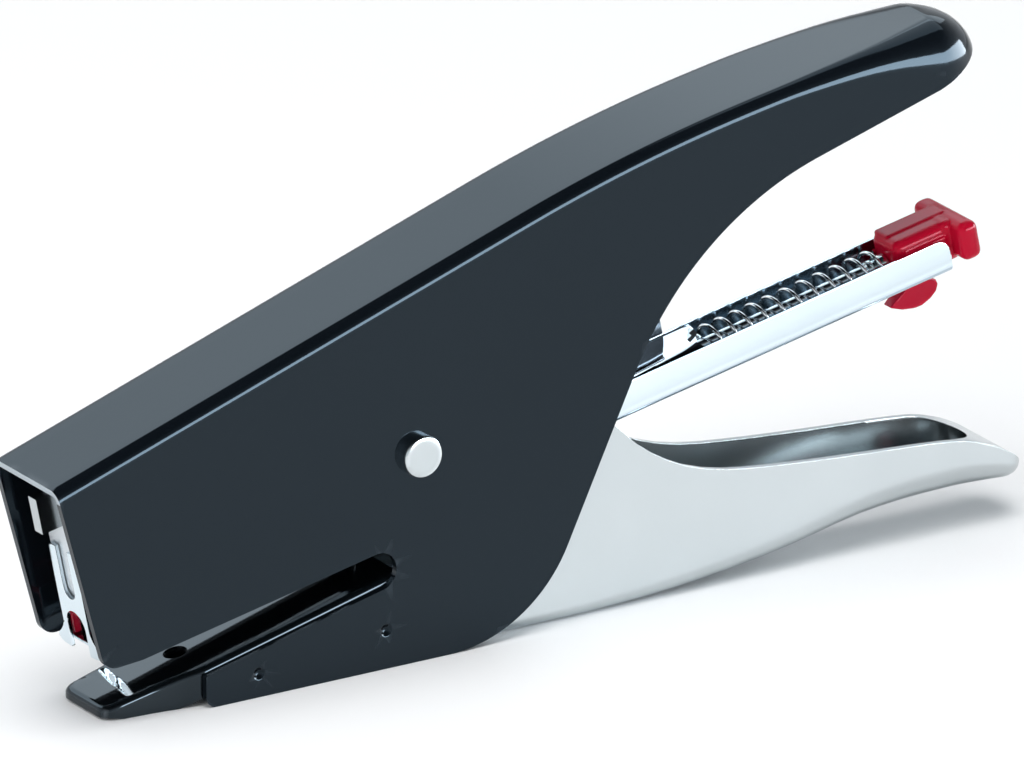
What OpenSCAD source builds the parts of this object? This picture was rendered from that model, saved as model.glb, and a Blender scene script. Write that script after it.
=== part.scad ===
// Plier stapler: a pressed steel casing, a squeeze handle, and a magazine that
// slides its staple pusher out at the rear.
// Axes: +X towards the handles, -Y is the near side, +Z up, floor at z = 0.
// Lengths along the object are measured from its nose, then moved so that the
// object's middle is at x = 0. Magazine parts are drawn along u (rearwards) and
// v (up) from the main pivot, and tilted as one.

/* [Overall] */
// Length from the nose to the tip of the lower handle
overall_l = 190; // [188:1:192]
// Tilt of the open magazine above the floor, in degrees
mag_tilt = 11.8; // [11:0.1:12.5]

/* [Casing] */
// Width over the two side walls
body_w = 20.6; // [20:0.1:21]
// Thickness of the casing sheet
case_t = 1.2; // [1:0.1:1.4]
// Radius of the bend between the top and the side walls
bend_r = 2.2; // [1.8:0.1:2.4]
// Slope of the straight part of the top, in degrees
top_slope = 18.6; // [18:0.1:19]
// Height of the upper front corner above the floor
nose_z = 43; // [42.6:0.1:43.6]
// Half the height of the paper throat at its closed end
throat_r = 3.3; // [3:0.1:3.6]

/* [Pivot] */
// Distance of the pivot from the nose
pivot_x = 68.9; // [68:0.1:70]
// Height of the pivot above the floor
pivot_z = 36.2; // [35.5:0.1:37]
// Radius of the rivet's shank
shank_r = 2.5; // [2:0.1:3]
// Radius of the rivet's heads
head_r = 3.6; // [3.2:0.1:4.2]
// Running clearance between the shank and what turns on it
pivot_fit = 0.06; // [0.03:0.01:0.1]

/* [Lower handle] */
// Width over the lower handle's walls
lever_w = 15.3; // [15:0.1:15.6]
// Thickness of the lower handle's sheet
lever_t = 1.2; // [1:0.1:1.3]

/* [Magazine] */
// Width over the magazine channel, for 9.5 mm wide staples
mag_w = 10.8; // [10.6:0.1:11]
// Thickness of the magazine sheet
mag_t = 0.6; // [0.5:0.1:0.7]
// Level of the channel's underside below the pivot
mag_bottom = -13; // [-13.2:0.1:-12.8]
// Level of the channel's upper edges below the pivot
mag_top = -6.7; // [-7:0.1:-6.6]
// Rear end of the channel behind the pivot
mag_rear = 107; // [105:1:109]

/* [Pusher] */
// Turns of the pusher spring
pusher_turns = 11; // [10.5:0.5:11.5]
// Diameter of the pusher spring's wire
pusher_wire = 0.72; // [0.7:0.02:0.74]
// Radius of the pusher spring's rings, to the middle of the wire
pusher_ring = 2.85; // [2.8:0.05:2.9]
// Diameter of the guide rod
rod_d = 2.2; // [2:0.1:2.4]

/* [Hidden] */
$fn = 48;

mid_x = overall_l / 2;
inner_w = body_w - 2 * case_t;
slot_over = 1;                      // how far a cutter runs past a face

// Casing outline
arc1_r = 300;                       // long arc of the top
arc2_r = 600;                       // flatter arc near the handle's end
arc1_x = 90.5;                      // where the straight top ends
arc1_end = 10.8;                    // slope where the arcs meet, in degrees
arc1_z = nose_z + arc1_x * tan(top_slope);
arc2_x = arc1_x + arc1_r * (sin(top_slope) - sin(arc1_end));
arc2_z = arc1_z + arc1_r * (cos(arc1_end) - cos(top_slope));
arc2_mid_x = arc2_x + arc2_r * sin(arc1_end);
arc2_mid_z = arc2_z - arc2_r * cos(arc1_end);
tip_r = 8.3;                        // side view radius of the handle's end
tip_x = 173;                        // centre of that radius
arc2_end = asin((arc2_mid_x - tip_x) / (arc2_r - tip_r));
tip_z = arc2_mid_z + (arc2_r - tip_r) * cos(arc2_end);
under_slope = 17;                   // slope of the handle's underside
back_slope = 64.6;                  // slope of the casing's rear edge
hollow_r = 57;                      // hollow between underside and rear edge
hollow_x = 162.5;
hollow_z = 18.1;
heel_r = 25.5;                      // round heel at the floor
heel_x = 74.7;
plan_x = tip_x - 1.9;               // centre of the rounding seen from above

// Magazine levels and stations, from the pivot
plate_u = -62.3;                    // outer face of the front plate
plate_t = 0.7;
blade_t = 0.5;
blade_u = plate_u + plate_t + 0.1;
channel_u = blade_u + blade_t + 0.1;
floor_v = mag_bottom + mag_t;
rod_v = -9;
knob_u = 97.5;                      // front face of the knob's block
ring_lean = asin(0.28);             // lean of the pusher spring's half rings
pusher_pitch = 4 * 0.28 * pusher_ring;
slide_rear = knob_u - pusher_wire - pusher_turns * pusher_pitch;
ear_in = mag_w / 2 + 0.05;          // inner face of the saddle's skirts
ear_t = 0.8;

function arc(x, z, r, a0, a1, n = 12) =
    [for (i = [0:n]) [x + r * cos(a0 + (a1 - a0) * i / n),
                      z + r * sin(a0 + (a1 - a0) * i / n)]];

// Top of the casing from front to tip, moved inwards by "inset". The tip's
// rounding ends at the angle "last".
function top_line(inset, last) = concat(
    arc(arc1_x + arc1_r * sin(top_slope), arc1_z - arc1_r * cos(top_slope),
        arc1_r - inset, 90 + top_slope, 90 + arc1_end),
    arc(arc2_mid_x, arc2_mid_z, arc2_r - inset, 90 + arc1_end, 90 + arc2_end),
    arc(tip_x, tip_z, tip_r - inset, 90 + arc2_end, last));

module side(w) {
    translate([-mid_x, 0, 0])
        rotate([90, 0, 0]) linear_extrude(height = w, center = true) children();
}

module plan(z0, z1) {
    translate([-mid_x, 0, z0]) linear_extrude(height = z1 - z0) children();
}

// u, y, v frame of the magazine, its origin on the main pivot
module at_pivot() {
    translate([pivot_x - mid_x, 0, pivot_z]) rotate([0, -mag_tilt, 0]) children();
}

// Flat shape given as [u, v], centred on the middle plane
module mag_side(w) {
    rotate([90, 0, 0]) linear_extrude(height = w, center = true) children();
}

// Flat shape given as [y, v], from station u forwards to u + t
module mag_front(u, t) {
    translate([u, 0, 0]) rotate([90, 0, 90]) linear_extrude(height = t) children();
}

module cross_hole(r, w) {
    translate([pivot_x - mid_x, 0, pivot_z]) rotate([90, 0, 0])
        cylinder(r = r, h = w, center = true);
}

// Spring along +X made of half rings, each leaning so that its ends are half a
// pitch apart and meet the next ones
module coil(turns, ring_r, lean, wire_r) {
    half_pitch = 2 * ring_r * sin(lean);
    for (i = [0:2 * turns - 1])
        translate([(i + 0.5) * half_pitch, 0, 0])
            rotate([0, 90, 0])
                rotate([0, (i % 2 == 0 ? 1 : -1) * lean, 0])
                    rotate([0, 0, i % 2 == 0 ? 0 : 180])
                        rotate_extrude(angle = 180, $fn = 16) translate([ring_r, 0]) circle(wire_r);
}

// ---- casing ----

module casing_outline() {
    polygon(concat(
        [[0, nose_z]],
        top_line(0, 20),
        [[178, 83.6], [174, 81.6], [170.2, 79.9]],
        arc(hollow_x, hollow_z, hollow_r, 90 + under_slope, 90 + back_slope),
        arc(heel_x, heel_r, heel_r, back_slope - 90, -90),
        arc(30.2, 2, 2, 270, 180, 4),
        [[28.2, 5.6], [61.4, 13.8], [61.4, 20.4], [15, 10.8]],
        arc(11.2, 13.6, 3, 270, 190, 6)));
}

// Space between the side walls, open at the front, below and behind
module casing_hollow() {
    intersection() {
        side(inner_w) polygon(concat(
            [[-10, nose_z - 10 * tan(top_slope) - case_t / cos(top_slope)]],
            top_line(case_t, 0),
            [[tip_x + tip_r - case_t, -slot_over], [-10, -slot_over]]));
        plan(-2 * slot_over, 100) {
            translate([-20, -inner_w / 2]) square([plan_x + 20, inner_w]);
            translate([plan_x, 0]) circle(inner_w / 2);
        }
    }
}

// Corner left over outside a bend of radius bend, as [across, up]. The bend's
// middle is moved out a little, so that it crosses the flats instead of grazing them.
module bend_corner(bend) {
    graze = 0.03;
    middle = [body_w / 2 - bend + graze, graze - bend];
    difference() {
        translate(middle) square(bend + slot_over);
        translate(middle) circle(bend);
    }
}

// The same corner along an arc of the top, from slope a1 down to slope a0
module bend_along(x, z, r, a0, a1, bend) {
    translate([x - mid_x, 0, z]) rotate([0, -90 - a0, 0]) rotate([90, 0, 0])
        rotate_extrude(angle = a1 - a0)
            translate([r, 0]) rotate(90) mirror([0, 1]) bend_corner(bend);
}

// The bend is a little rounder along the handle's end
module bends() {
    end_bend_r = bend_r + 0.15;
    translate([-mid_x, 0, nose_z]) rotate([0, -top_slope, 0])
        translate([-5, 0, 0]) rotate([90, 0, 90])
            linear_extrude(height = arc1_x / cos(top_slope) + 5) {
                bend_corner(bend_r);
                mirror([1, 0]) bend_corner(bend_r);
            }
    for (s = [0, 1]) mirror([0, s, 0]) {
        bend_along(arc1_x + arc1_r * sin(top_slope), arc1_z - arc1_r * cos(top_slope),
            arc1_r, arc1_end, top_slope, bend_r);
        bend_along(arc2_mid_x, arc2_mid_z, arc2_r, arc2_end, arc1_end, end_bend_r);
    }
}

module casing() {
    color([0.09, 0.11, 0.13]) difference() {
        intersection() {
            side(body_w) casing_outline();
            plan(-slot_over, 100) {
                translate([-20, -body_w / 2]) square([plan_x + 20, body_w]);
                translate([plan_x, 0]) circle(body_w / 2);
            }
        }
        casing_hollow();
        bends();
        side(body_w + slot_over) translate([61.4, 17.1]) circle(throat_r);
        cross_hole(shank_r, body_w + slot_over);
        for (s = [-1, 1]) casing_dents(s);
    }
}

// Two punch marks on each side hold the anvil plate
module casing_dents(s) {
    for (p = [[38.3, 4.1], [62.7, 6.7]])
        translate([p[0] - mid_x, s * body_w / 2, p[1]]) sphere(r = 1);
}

// ---- fixed to the casing ----

anvil_t = 1.2;
anvil_slope = 14;
anvil_x = 17.2;                     // staple line on the plate
anvil_z = 3.7;
anvil_front = 10.9;
anvil_rear = 66;

function anvil_top(x) = anvil_z + (x - anvil_x) * tan(anvil_slope);

// Plate seen from above: a nose that widens to fill the casing
module anvil_plan(inset) {
    nose = 6.7 - inset;
    fit = inner_w / 2 - 0.05 - inset;
    polygon([
        [0, -nose + 0.5], [anvil_front, -nose], [20, -nose - 0.8], [28.6, -fit], [80, -fit],
        [80, fit], [28.6, fit], [20, nose + 0.8], [anvil_front, nose], [0, nose - 0.5]]);
}

module anvil_plate() {
    color([0.1, 0.11, 0.12]) difference() {
        union() {
            intersection() {
                side(body_w) polygon([
                    [anvil_front, anvil_top(anvil_front)], [anvil_rear, anvil_top(anvil_rear)],
                    [anvil_rear, anvil_top(anvil_rear) - anvil_t],
                    [anvil_front, anvil_top(anvil_front) - anvil_t]]);
                plan(-slot_over, 40) anvil_plan(0);
            }
            anvil_flanges();
            anvil_hook();
        }
        clinch_groove();
        translate([28.5 - mid_x, 0, 0]) cylinder(r = 2, h = 20);
    }
}

// Walls folded down along the plate's edges, standing on the floor at the nose
module anvil_flanges() {
    intersection() {
        side(body_w) polygon([[13.6, 0], [25, 0], [29, 1.6], [64, 3.4],
            [64, anvil_top(64) - anvil_t / 2], [11.6, anvil_top(11.6) - anvil_t / 2]]);
        plan(-slot_over, 40) difference() {
            anvil_plan(0);
            anvil_plan(1);
        }
    }
}

// Tab under the plate that holds the front eye of the return spring
module anvil_hook() {
    difference() {
        translate([46 - mid_x, -2, 4]) cube([1.2, 4, 8]);
        translate([46 - mid_x, 0, 6]) rotate([0, 90, 0]) cylinder(r = 0.9, h = 5, center = true);
    }
}

// Two pockets that bend the staple's legs inwards
module clinch_groove() {
    translate([anvil_x - mid_x, 0, anvil_z]) rotate([0, -anvil_slope, 0])
        for (s = [-1, 1]) translate([0, s * 3, 3.4]) rotate([0, 90, 0])
            cylinder(r = 4, h = 1.8, center = true);
}

module pivot_rivet() {
    head_h = 1.9;
    color([0.8, 0.81, 0.82]) translate([pivot_x - mid_x, 0, pivot_z]) rotate([90, 0, 0]) {
        cylinder(r = shank_r, h = body_w, center = true);
        translate([0, 0, body_w / 2]) cylinder(r = head_r, h = head_h - 0.4);
        translate([0, 0, body_w / 2 + head_h - 0.4])
            cylinder(r1 = head_r, r2 = head_r - 0.4, h = 0.4);
        translate([0, 0, -body_w / 2 - head_h]) cylinder(r = head_r - 0.3, h = head_h);
    }
}

// One thin washer each side, between the handle's cheek and the casing wall
module pivot_washers() {
    gap = (inner_w - lever_w) / 2;
    color([0.6, 0.6, 0.62]) for (s = [-1, 1])
        translate([pivot_x - mid_x, s * (inner_w + lever_w) / 4, pivot_z]) rotate([90, 0, 0])
            difference() {
                cylinder(r = 5, h = gap - 0.1, center = true);
                cylinder(r = shank_r, h = gap + slot_over, center = true);
            }
}

spring_x0 = 48.2;
spring_x1 = 82;
spring_z = 6;

// Extension spring under the anvil plate; it pulls the handle open
module return_spring() {
    wire_r = 0.5;
    stub_r = 0.4;
    mean_r = 2;
    turns = 24;
    pitch = 1.08;
    lean = atan(pitch / 4 / mean_r);
    body_l = turns * pitch;
    start = (spring_x1 - spring_x0 - body_l) / 2;
    color([0.35, 0.36, 0.38]) translate([spring_x0 - mid_x, 0, spring_z]) {
        translate([start, 0, 0]) coil(turns, mean_r / cos(lean), lean, wire_r);
        for (e = [[-2.6, start], [start + body_l, spring_x1 - spring_x0]])
            translate([e[0], 0, 0]) rotate([0, 90, 0]) cylinder(r = wire_r, h = e[1] - e[0]);
        for (x = [start, start + body_l])
            translate([x, 0, 0]) cylinder(r = stub_r, h = mean_r);
    }
}

// ---- squeeze handle ----

belly_x = 104;                      // end of the flat belly
belly_r = 246;
belly_slope = 10.3;
belly_end_r = 94;
handle_tip_x = overall_l;

// Underside of the handle from the heel to the tip, moved up by "inset"
function belly_line(inset) = concat(
    [[81, inset], [belly_x, inset]],
    arc(belly_x, belly_r, belly_r - inset, -90, -90 + belly_slope, 8),
    arc(170.6, -87.0, belly_end_r + inset, 90 + belly_slope, 91.5, 6),
    [[183.5, 7.3 + inset]]);

module lever_outline() {
    nose_c = [for (p = [[-65.5, 9.9], [-65.5, 16.3], [-50, 16.3]])
        [pivot_x + p[0] * cos(mag_tilt) - p[1] * sin(mag_tilt),
         pivot_z + p[0] * sin(mag_tilt) + p[1] * cos(mag_tilt)]];
    under = [pivot_x - 46 * cos(mag_tilt) - 9.9 * sin(mag_tilt),
             pivot_z - 46 * sin(mag_tilt) + 9.9 * cos(mag_tilt)];
    polygon(concat(
        belly_line(0),
        [[188.2, 8.0], [handle_tip_x, 9.3], [187.5, 11.4], [184.9, 13.1], [181.5, 14.8],
         [176, 16.4], [168, 17.1], [156, 17.9], [140, 19.2], [131, 20.3], [124, 22], [118, 24.8], [113, 28.2],
         [108.6, 32.3], [99, 40.6]],
        arc(82, 20, 26.7, 48, 100, 6),
        [nose_c[2], nose_c[1], nose_c[0], under, [58, 31], [62, 24.5], [76, 5]]));
}

// Seen from above: a narrow nose that widens to the two cheeks, as far as x_end
module lever_plan(inset, x_end) {
    half = lever_w / 2 - inset;
    nose_half = lever_t - inset;
    polygon([
        [-5, -nose_half], [24 + inset, -nose_half], [42 + inset, -half], [x_end, -half],
        [x_end, half], [42 + inset, half], [24 + inset, nose_half], [-5, nose_half]]);
}

// Blunt end of the handle, with round corners
module lever_tip() {
    tip_corner = 5;
    x = handle_tip_x - tip_corner;
    y = lever_w / 2 - tip_corner;
    for (s = [-1, 1]) translate([x, s * y]) circle(tip_corner);
    translate([x - 1, -y]) square([tip_corner + 1, 2 * y]);
}

// Inside of the handle; its rear end is round and leaves a solid tip
module lever_hollow() {
    bowl_x = 174.7;
    intersection() {
        side(lever_w) polygon(concat(
            [[-10, -slot_over], [82, -slot_over], [82, lever_t]],
            [for (p = belly_line(lever_t)) if (p[0] > 83) p],
            [[200, 12], [200, 70], [-10, 70]]));
        plan(-2 * slot_over, 80) {
            lever_plan(lever_t, bowl_x);
            translate([bowl_x, 0]) circle(lever_w / 2 - lever_t);
        }
    }
}

module lower_handle() {
    color([0.72, 0.73, 0.74]) difference() {
        intersection() {
            side(lever_w) lever_outline();
            plan(-slot_over, 80) {
                lever_plan(0, handle_tip_x - 5);
                lever_tip();
            }
        }
        lever_hollow();
        cross_hole(shank_r + pivot_fit, lever_w + slot_over);
        translate([83.6 - mid_x, 0, 0]) cylinder(r = 1, h = 6, center = true);
    }
}

module driver_blade() {
    tip_v = -6.5;
    shoulder_v = 7.5;
    head_v = 18;
    color([0.78, 0.79, 0.8]) at_pivot() mag_front(blade_u, blade_t) difference() {
        union() {
            translate([-4.6, tip_v]) square([9.2, shoulder_v - tip_v]);
            translate([-3.6, tip_v]) square([7.2, head_v - tip_v]);
        }
        translate([-lever_t - 0.15, 9.7]) square([2 * lever_t + 0.3, 6.8]);
    }
}

// ---- magazine ----

module magazine_channel() {
    half = mag_w / 2;
    color([0.85, 0.86, 0.87]) at_pivot() difference() {
        mag_side(mag_w) polygon([
            [channel_u, mag_bottom + 1.6], [channel_u + 1.6, mag_bottom],
            [mag_rear, mag_bottom], [mag_rear, mag_top - 2], [mag_rear - 2, mag_top],
            [channel_u, mag_top]]);
        translate([channel_u - slot_over, -half + mag_t, floor_v])
            cube([mag_rear - channel_u + 2 * slot_over, mag_w - 2 * mag_t, 20]);
        translate([97, -1.6, mag_bottom - slot_over]) cube([20, 3.2, 3]);
        translate([channel_u - slot_over, -half + mag_t, mag_bottom - slot_over])
            cube([1.6, mag_w - 2 * mag_t, 3]);
    }
}

// Plate across the nose, with the driver's slot and an arch to see the pusher
module front_plate() {
    half = 4.05;
    foot = 6.6;
    color([0.88, 0.89, 0.9]) at_pivot() {
        mag_front(plate_u, plate_t) difference() {
            polygon([
                [-half, 5.5], [-half, -9], [-foot, -12], [-foot + 0.6, -13], [-3, -13.6],
                [3, -13.6], [foot - 0.6, -13], [foot, -12], [half, -9], [half, 5.5]]);
            translate([-1.75, -2]) square([3.5, 10]);
            translate([0, -2]) circle(1.75);
            translate([0, -9]) circle(2.85);
            translate([-2.85, -15]) square([5.7, 6]);
        }
        for (s = [-1, 1])
            translate([plate_u, s * (ear_in + 0.3) - 0.3, -12.4]) cube([7, 0.6, 4.4]);
    }
}

// Saddle over the channel: it covers the staples and carries the pivot ears
module magazine_saddle() {
    out_w = 2 * (ear_in + ear_t);
    color([0.6, 0.62, 0.64]) at_pivot() difference() {
        mag_side(out_w) polygon(concat(
            [[-54.5, -12.2], [14, -12.2], [14, -6]],
            arc(0, 0, 5.4, -10, 190, 10),
            [[-12, -5.8], [-54.5, -5.8]]));
        mag_side(2 * ear_in) polygon([[-60, -20], [20, -20], [20, mag_top + 0.1], [-60, mag_top + 0.1]]);
        mag_side(2 * ear_in) polygon([[-10, -5.8], [20, -5.8], [20, 20], [-10, 20]]);
        rotate([90, 0, 0]) cylinder(r = shank_r + pivot_fit, h = 30, center = true);
    }
}

module saddle_rivets() {
    color([0.7, 0.7, 0.72]) at_pivot() for (u = [-50, -36], s = [-1, 1])
        translate([u, s * (ear_in + ear_t), -9.4]) rotate([-s * 90, 0, 0])
            cylinder(r = 1.1, h = 0.4);
}

// Rail inside the staples' legs
module staple_core() {
    color([0.7, 0.71, 0.72]) at_pivot() difference() {
        translate([channel_u + 1, -3.6, floor_v]) cube([93, 7.2, 3.7]);
        translate([channel_u, -3.0, floor_v - slot_over]) cube([96, 6, 4.1]);
    }
}

// Lug with a folded top that stands on the far wall, just outside the casing
module spring_stop() {
    color([0.3, 0.32, 0.34]) at_pivot() {
        translate([50, mag_w / 2, -11]) cube([7, 0.7, 8]);
        translate([50, mag_w / 2 - 1.2, -3]) cube([7, 1.9, 0.6]);
    }
}

// Thin lid over the staples between the saddle and the pusher's window
module cover_strip() {
    color([0.8, 0.81, 0.82]) at_pivot()
        translate([14.2, -mag_w / 2, mag_top]) cube([24, mag_w, 0.5]);
}

// ---- loader: pulls out to the rear ----

module guide_rod() {
    color([0.8, 0.81, 0.82]) at_pivot() translate([35.5, 0, rod_v]) rotate([0, 90, 0])
        cylinder(d = rod_d, h = knob_u + 6 - 35.5);
}

// Collar on the rod's front end that keeps the pusher from falling off
module rod_collar() {
    color([0.6, 0.6, 0.62]) at_pivot() translate([36, 0, rod_v]) rotate([0, 90, 0])
        difference() {
            cylinder(r = 1.4, h = 1.6);
            translate([0, 0, -slot_over]) cylinder(d = rod_d, h = 5);
        }
}

module pusher_spring() {
    color([0.8, 0.82, 0.84]) at_pivot() translate([slide_rear + pusher_wire / 2, 0, rod_v])
        coil(pusher_turns, pusher_ring, ring_lean, pusher_wire / 2);
}

// Red grip: a block in the channel, a wide end plate and a release tab below
module knob() {
    block_half = 3.9;
    color([0.62, 0.06, 0.1]) at_pivot() difference() {
        union() {
            translate([knob_u, -block_half, floor_v + 0.2]) cube([11.5, 2 * block_half, 7.8]);
            difference() {
                translate([108.4, -7.5, -11.4]) cube([3.6, 15, 7.4]);
                for (s = [-1, 1]) translate([100, s * 7.5, -11.4]) rotate([45, 0, 0])
                    cube([20, 1.6, 1.6], center = true);
            }
            mag_side(2.4) polygon([
                [99.5, floor_v + 0.5], [104.4, floor_v + 0.5], [104.4, -14.6], [105.8, -15.6],
                [105.2, -17.2], [102.6, -18.6], [100.4, -18.6], [96.2, -16.8], [99.5, -14.6]]);
        }
        translate([knob_u - slot_over, 0, rod_v]) rotate([0, 90, 0]) cylinder(d = rod_d, h = 7);
        translate([knob_u + 4, 0, rod_v]) rotate([90, 0, 0])
            cylinder(r = 0.6, h = 20, center = true);
    }
}

module knob_pin() {
    color([0.7, 0.7, 0.72]) at_pivot() difference() {
        translate([knob_u + 4, 0, rod_v]) rotate([90, 0, 0])
            cylinder(r = 0.6, h = 7.6, center = true);
        translate([knob_u, 0, rod_v]) rotate([0, 90, 0]) cylinder(d = rod_d, h = 6);
    }
}

// Long inverted channel that carries the spring's push to the staples
module pusher_slide() {
    slide_front = -54;
    half = mag_w / 2 - mag_t - 0.1;
    color([0.82, 0.83, 0.84]) at_pivot() difference() {
        translate([slide_front, -half, -12.2]) cube([slide_rear - slide_front, 2 * half, 5.2]);
        translate([slide_front - slot_over, -half + 0.6, -12.2 - slot_over])
            cube([slide_rear - slide_front, 2 * half - 1.2, 5.6]);
        translate([slide_rear, 0, rod_v]) rotate([0, 90, 0])
            cylinder(d = rod_d + 0.16, h = 6, center = true);
    }
}

module pusher_tip() {
    half = mag_w / 2 - mag_t - 0.1;
    color([0.62, 0.06, 0.1]) at_pivot() difference() {
        translate([channel_u + 0.2, -half, -12.2]) cube([6.6, 2 * half, 5.2]);
        translate([channel_u, -3.8, -12.2 - slot_over]) cube([6.9, 7.6, 4.9]);
    }
}

casing();
anvil_plate();
pivot_rivet();
pivot_washers();
return_spring();
lower_handle();
driver_blade();
magazine_channel();
front_plate();
magazine_saddle();
saddle_rivets();
staple_core();
spring_stop();
cover_strip();
guide_rod();
rod_collar();
pusher_spring();
knob();
knob_pin();
pusher_slide();
pusher_tip();
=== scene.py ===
import math

import bmesh
import bpy
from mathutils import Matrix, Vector
from mathutils.geometry import delaunay_2d_cdt


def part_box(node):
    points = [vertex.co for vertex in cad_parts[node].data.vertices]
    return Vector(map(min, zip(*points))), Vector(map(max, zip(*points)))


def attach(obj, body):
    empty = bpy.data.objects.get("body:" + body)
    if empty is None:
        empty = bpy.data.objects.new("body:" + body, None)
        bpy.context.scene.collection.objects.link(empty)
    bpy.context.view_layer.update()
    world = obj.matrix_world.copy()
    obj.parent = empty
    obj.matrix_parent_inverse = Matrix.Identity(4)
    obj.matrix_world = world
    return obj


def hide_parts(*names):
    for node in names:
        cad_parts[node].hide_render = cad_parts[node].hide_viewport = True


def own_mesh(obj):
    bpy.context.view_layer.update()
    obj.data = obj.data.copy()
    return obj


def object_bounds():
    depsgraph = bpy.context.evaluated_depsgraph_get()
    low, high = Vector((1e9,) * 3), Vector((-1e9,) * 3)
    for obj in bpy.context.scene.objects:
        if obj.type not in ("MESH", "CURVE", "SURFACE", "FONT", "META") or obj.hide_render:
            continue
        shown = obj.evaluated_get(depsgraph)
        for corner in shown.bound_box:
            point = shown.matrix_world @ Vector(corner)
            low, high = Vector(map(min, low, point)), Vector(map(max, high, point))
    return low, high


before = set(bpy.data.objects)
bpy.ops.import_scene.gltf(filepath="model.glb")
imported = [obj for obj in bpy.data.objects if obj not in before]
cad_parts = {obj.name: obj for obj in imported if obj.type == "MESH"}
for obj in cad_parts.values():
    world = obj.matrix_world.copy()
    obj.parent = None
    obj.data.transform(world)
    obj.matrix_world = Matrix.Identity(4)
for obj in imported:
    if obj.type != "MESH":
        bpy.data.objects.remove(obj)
CAD_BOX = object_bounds()

# ---------------------------------------------------------------- places
MM = 0.001
riv_lo, riv_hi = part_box("pivot_rivet")
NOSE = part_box("casing")[0].x
PIVOT = (Vector(riv_lo) + Vector(riv_hi)) / 2
TILT = math.radians(11.8)  # of the open magazine above the floor, as in the CAD
U = Vector((math.cos(TILT), 0, math.sin(TILT)))
V = Vector((-math.sin(TILT), 0, math.cos(TILT)))


def row(x, y, z):
    """x from the nose, y across, z up, in millimetres"""
    return Vector((NOSE + x * MM, y * MM, z * MM))


def mag(u, y, v):
    """u back along the magazine and v up from the pivot, in millimetres"""
    return PIVOT + U * (u * MM) + V * (v * MM) + Vector((0, y * MM, 0))


def curve(pts):
    """Smooth monotone-ish interpolation through (x, y) points"""
    xs = [p[0] for p in pts]
    ys = [p[1] for p in pts]
    n = len(xs)
    d = [(ys[i + 1] - ys[i]) / (xs[i + 1] - xs[i]) for i in range(n - 1)]
    m = [d[0]] + [0.0 if d[i - 1] * d[i] <= 0 else 2 * d[i - 1] * d[i] / (d[i - 1] + d[i])
                  for i in range(1, n - 1)] + [d[-1]]

    def f(x):
        if x <= xs[0]:
            return ys[0]
        if x >= xs[-1]:
            return ys[-1]
        i = max(k for k in range(n - 1) if xs[k] <= x)
        h = xs[i + 1] - xs[i]
        t = (x - xs[i]) / h
        return ((2 * t ** 3 - 3 * t * t + 1) * ys[i] + (t ** 3 - 2 * t * t + t) * h * m[i]
                + (-2 * t ** 3 + 3 * t * t) * ys[i + 1] + (t ** 3 - t * t) * h * m[i + 1])
    return f


def arc(cx, cy, r, a0, a1, n=12):
    return [(cx + r * math.cos(math.radians(a0 + (a1 - a0) * i / n)),
             cy + r * math.sin(math.radians(a0 + (a1 - a0) * i / n))) for i in range(n + 1)]


def dense(pts, step):
    """Open 2D line with extra points so that no gap is longer than step"""
    out = [pts[0]]
    for a, b in zip(pts, pts[1:]):
        n = max(1, int(math.ceil(math.dist(a, b) / step)))
        out += [(a[0] + (b[0] - a[0]) * i / n, a[1] + (b[1] - a[1]) * i / n)
                for i in range(1, n + 1)]
    return out


def inside(p, poly):
    c = False
    for (x0, y0), (x1, y1) in zip(poly, poly[1:] + poly[:1]):
        if (y0 > p[1]) != (y1 > p[1]) and p[0] < (x1 - x0) * (p[1] - y0) / (y1 - y0) + x0:
            c = not c
    return c


def fill2d(outer, holes=(), extra=()):
    """Triangles of a flat outline with holes and extra inner points"""
    pts, edges = [], []
    for loop in [outer, *holes]:
        k = len(pts)
        pts += loop
        edges += [(k + i, k + (i + 1) % len(loop)) for i in range(len(loop))]
    pts = pts + list(extra)
    v, _, f, _, _, _ = delaunay_2d_cdt([Vector(p) for p in pts], edges, [], 0, 1e-6)
    keep = []
    for t in f:
        c = (sum(v[i][0] for i in t) / 3, sum(v[i][1] for i in t) / 3)
        if inside(c, outer) and not any(inside(c, h) for h in holes):
            keep.append(tuple(t))
    return [(p[0], p[1]) for p in v], keep


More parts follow.
